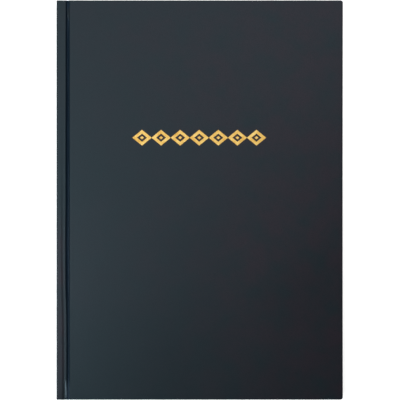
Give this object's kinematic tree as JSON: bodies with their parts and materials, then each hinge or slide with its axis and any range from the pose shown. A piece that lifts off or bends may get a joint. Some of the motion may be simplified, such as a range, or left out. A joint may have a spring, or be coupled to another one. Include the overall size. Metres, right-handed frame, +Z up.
{
  "type": "record book",
  "caption": "Hardcover record book with a dark leatherette cover, pressed spine joints and sewn sections of ruled leaves.",
  "frame": {"origin": "middle of the closed book's underside, where it lies on a desk", "axes": "+X from the spine to the fore edge, +Y from the tail to the head, +Z up through the front cover"},
  "size_m": [0.213, 0.297, 0.0146],
  "materials": {
    "covering": "dark blue-black leatherette paper, fine grain, satin",
    "greyboard": "raw grey board",
    "endpaper": "plain uncoated cream paper",
    "leaf": "uncoated writing paper with printed rules",
    "mull": "stiffened open-weave cloth",
    "lining_paper": "brown kraft paper",
    "thread": "waxed linen thread"
  },
  "bodies": {
    "text_block": {"section_05": "leaf", "section_06": "leaf", "section_07": "leaf", "section_08": "leaf", "section_09": "leaf", "section_10": "leaf", "section_11": "leaf", "section_12": "leaf", "sewing_thread_1": "thread", "sewing_thread_2": "thread", "sewing_thread_3": "thread", "sewing_thread_4": "thread", "sewing_thread_5": "thread", "spine_mull": "mull", "spine_lining": "lining_paper", "spine_card": "greyboard", "spine_covering": "covering", "front_joint_covering": "covering", "front_endpaper_fold": "endpaper", "front_mull_joint": "mull", "back_joint_covering": "covering", "back_endpaper_fold": "endpaper", "back_mull_joint": "mull", "section_01_fold": "leaf", "section_02_fold": "leaf", "section_03_fold": "leaf", "section_04_fold": "leaf"},
    "front_cover": {"front_board": "greyboard", "front_covering": "covering", "front_pastedown": "endpaper", "front_mull_flap": "mull"},
    "front_flyleaf": {"front_flyleaf": "endpaper"},
    "section_01": {"section_01": "leaf"},
    "section_02": {"section_02": "leaf"},
    "section_03": {"section_03": "leaf"},
    "section_04": {"section_04": "leaf"},
    "back_cover": {"back_board": "greyboard", "back_covering": "covering", "back_pastedown": "endpaper", "back_mull_flap": "mull"},
    "back_flyleaf": {"back_flyleaf": "endpaper"}
  },
  "joints": [
    {"name": "front_cover_hinge", "type": "hinge", "parent": "text_block", "child": "front_cover", "pos_m": [-0.1023, 0, 0.01179], "axis": [0, -1, 0], "range_deg": [0, 180], "deforming": ["front_joint_covering", "front_mull_joint", "spine_covering", "spine_card"]},
    {"name": "front_flyleaf_turn", "type": "hinge", "parent": "text_block", "child": "front_flyleaf", "pos_m": [-0.1023, 0, 0.01179], "axis": [0, -1, 0], "range_deg": [0, 174.6], "deforming": ["front_endpaper_fold"]},
    {"name": "section_01_turn", "type": "hinge", "parent": "text_block", "child": "section_01", "pos_m": [-0.1023, 0, 0.01179], "axis": [0, -1, 0], "range_deg": [0, 169.2], "deforming": ["section_01_fold"]},
    {"name": "section_02_turn", "type": "hinge", "parent": "text_block", "child": "section_02", "pos_m": [-0.1023, 0, 0.01179], "axis": [0, -1, 0], "range_deg": [0, 12.6], "deforming": ["section_02_fold"]},
    {"name": "section_03_turn", "type": "hinge", "parent": "text_block", "child": "section_03", "pos_m": [-0.1023, 0, 0.01179], "axis": [0, -1, 0], "range_deg": [0, 8.1], "deforming": ["section_03_fold"]},
    {"name": "section_04_turn", "type": "hinge", "parent": "text_block", "child": "section_04", "pos_m": [-0.1023, 0, 0.01179], "axis": [0, -1, 0], "range_deg": [0, 3.6], "deforming": ["section_04_fold"]},
    {"name": "back_cover_hinge", "type": "hinge", "parent": "text_block", "child": "back_cover", "pos_m": [-0.1023, 0, 0.00285], "axis": [0, 1, 0], "range_deg": [0, 180], "deforming": ["back_joint_covering", "back_mull_joint", "spine_covering", "spine_card"]},
    {"name": "back_flyleaf_turn", "type": "hinge", "parent": "text_block", "child": "back_flyleaf", "pos_m": [-0.1023, 0, 0.00285], "axis": [0, 1, 0], "range_deg": [0, 174.6], "deforming": ["back_endpaper_fold"]}
  ],
  "couplings": [
    {"joint": "front_flyleaf_turn", "follows": "front_cover_hinge", "ratio": 0.97},
    {"joint": "section_01_turn", "follows": "front_cover_hinge", "ratio": 0.94},
    {"joint": "section_02_turn", "follows": "front_cover_hinge", "ratio": 0.07},
    {"joint": "section_03_turn", "follows": "front_cover_hinge", "ratio": 0.045},
    {"joint": "section_04_turn", "follows": "front_cover_hinge", "ratio": 0.02},
    {"joint": "back_flyleaf_turn", "follows": "back_cover_hinge", "ratio": 0.97}
  ]
}
